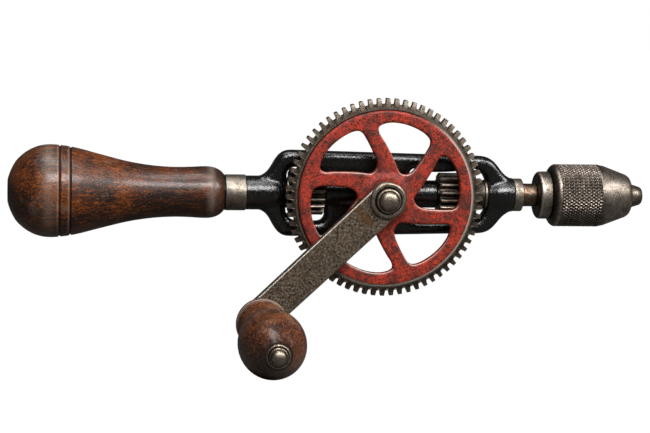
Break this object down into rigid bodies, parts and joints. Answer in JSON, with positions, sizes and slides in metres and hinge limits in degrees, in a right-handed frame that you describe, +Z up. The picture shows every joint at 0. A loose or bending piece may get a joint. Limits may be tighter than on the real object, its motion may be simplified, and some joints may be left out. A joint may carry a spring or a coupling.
{
  "type": "hand drill",
  "caption": "Hand drill with a cast frame, a spoked red crank wheel geared to two bevel pinions, a knurled jaw chuck, and a turned wooden handle and crank knob.",
  "frame": {"origin": "centre of the flat pad on the back of the frame's hub boss, 10 mm behind the point where the spindle's axis and the wheel's axis cross", "axes": "+X along the spindle towards the chuck, +Y out of the back of the frame, away from the crank wheel, +Z up with the drill lying as in the picture"},
  "size_m": [0.2926, 0.1172, 0.116],
  "materials": {
    "oiled_walnut": "oiled dark red-brown hardwood, worn, satin",
    "dark_walnut": "oiled darker purple-brown hardwood, satin",
    "black_japan": "cast iron with a worn black japanned gloss",
    "red_paint": "cast iron in scuffed red paint, teeth and edges bare",
    "pitted_steel": "flat bar, pitted and brown-grey with age",
    "worn_steel": "turned and worn nearly bright",
    "gear_steel": "cut teeth, oiled and brown-grey",
    "turned_steel": "turned, lightly aged",
    "aged_steel": "turned, satin with brown age in the corners",
    "chuck_steel": "knurled grip, satin cone, brown-grey",
    "jaw_steel": "dark hardened steel"
  },
  "bodies": {
    "frame": {"frame": "black_japan", "main_handle": "oiled_walnut", "handle_ferrule": "worn_steel", "handle_tang": "turned_steel", "nose_bush": "worn_steel", "idler_thrust_washer": "worn_steel", "drive_thrust_washer": "worn_steel", "wheel_stud": "turned_steel", "stud_washer": "aged_steel", "stud_nut": "aged_steel"},
    "crank_wheel": {"drive_wheel": "red_paint", "crank_arm": "pitted_steel", "knob_pin": "turned_steel", "knob_washer": "aged_steel", "knob_nut": "aged_steel"},
    "knob": {"crank_knob": "dark_walnut"},
    "spindle": {"spindle": "turned_steel", "drive_pinion": "gear_steel", "pinion_pin": "worn_steel", "chuck_body": "chuck_steel"},
    "idler": {"idler_pinion": "gear_steel"},
    "chuck_shell": {"chuck_shell": "chuck_steel"},
    "jaw_1": {"jaw_1": "jaw_steel"},
    "jaw_2": {"jaw_2": "jaw_steel"},
    "jaw_3": {"jaw_3": "jaw_steel"}
  },
  "joints": [
    {"name": "wheel_spin", "type": "hinge", "parent": "frame", "child": "crank_wheel", "pos_m": [0, -0.01, 0], "axis": [0, 1, 0], "continuous": true},
    {"name": "spindle_spin", "type": "hinge", "parent": "frame", "child": "spindle", "pos_m": [0, -0.01, 0], "axis": [1, 0, 0], "continuous": true},
    {"name": "idler_spin", "type": "hinge", "parent": "frame", "child": "idler", "pos_m": [0, -0.01, 0], "axis": [1, 0, 0], "continuous": true},
    {"name": "knob_spin", "type": "hinge", "parent": "crank_wheel", "child": "knob", "pos_m": [-0.05593, -0.01, -0.05593], "axis": [0, 1, 0], "continuous": true},
    {"name": "shell_turn", "type": "hinge", "parent": "spindle", "child": "chuck_shell", "pos_m": [0.1, -0.01, 0], "axis": [1, 0, 0], "range_deg": [0, 1800]},
    {"name": "jaw_1_slide", "type": "slide", "parent": "spindle", "child": "jaw_1", "axis": [-0.9537, 0, -0.3007], "range_m": [0, 0.0095]},
    {"name": "jaw_2_slide", "type": "slide", "parent": "spindle", "child": "jaw_2", "axis": [-0.9537, 0.2604, 0.1504], "range_m": [0, 0.0095]},
    {"name": "jaw_3_slide", "type": "slide", "parent": "spindle", "child": "jaw_3", "axis": [-0.9537, -0.2604, 0.1504], "range_m": [0, 0.0095]}
  ],
  "couplings": [
    {"joint": "spindle_spin", "follows": "wheel_spin", "ratio": 4.25},
    {"joint": "idler_spin", "follows": "wheel_spin", "ratio": -4.25},
    {"joint": "jaw_1_slide", "follows": "shell_turn", "m_per_rad": 0.0003},
    {"joint": "jaw_2_slide", "follows": "shell_turn", "m_per_rad": 0.0003},
    {"joint": "jaw_3_slide", "follows": "shell_turn", "m_per_rad": 0.0003}
  ]
}
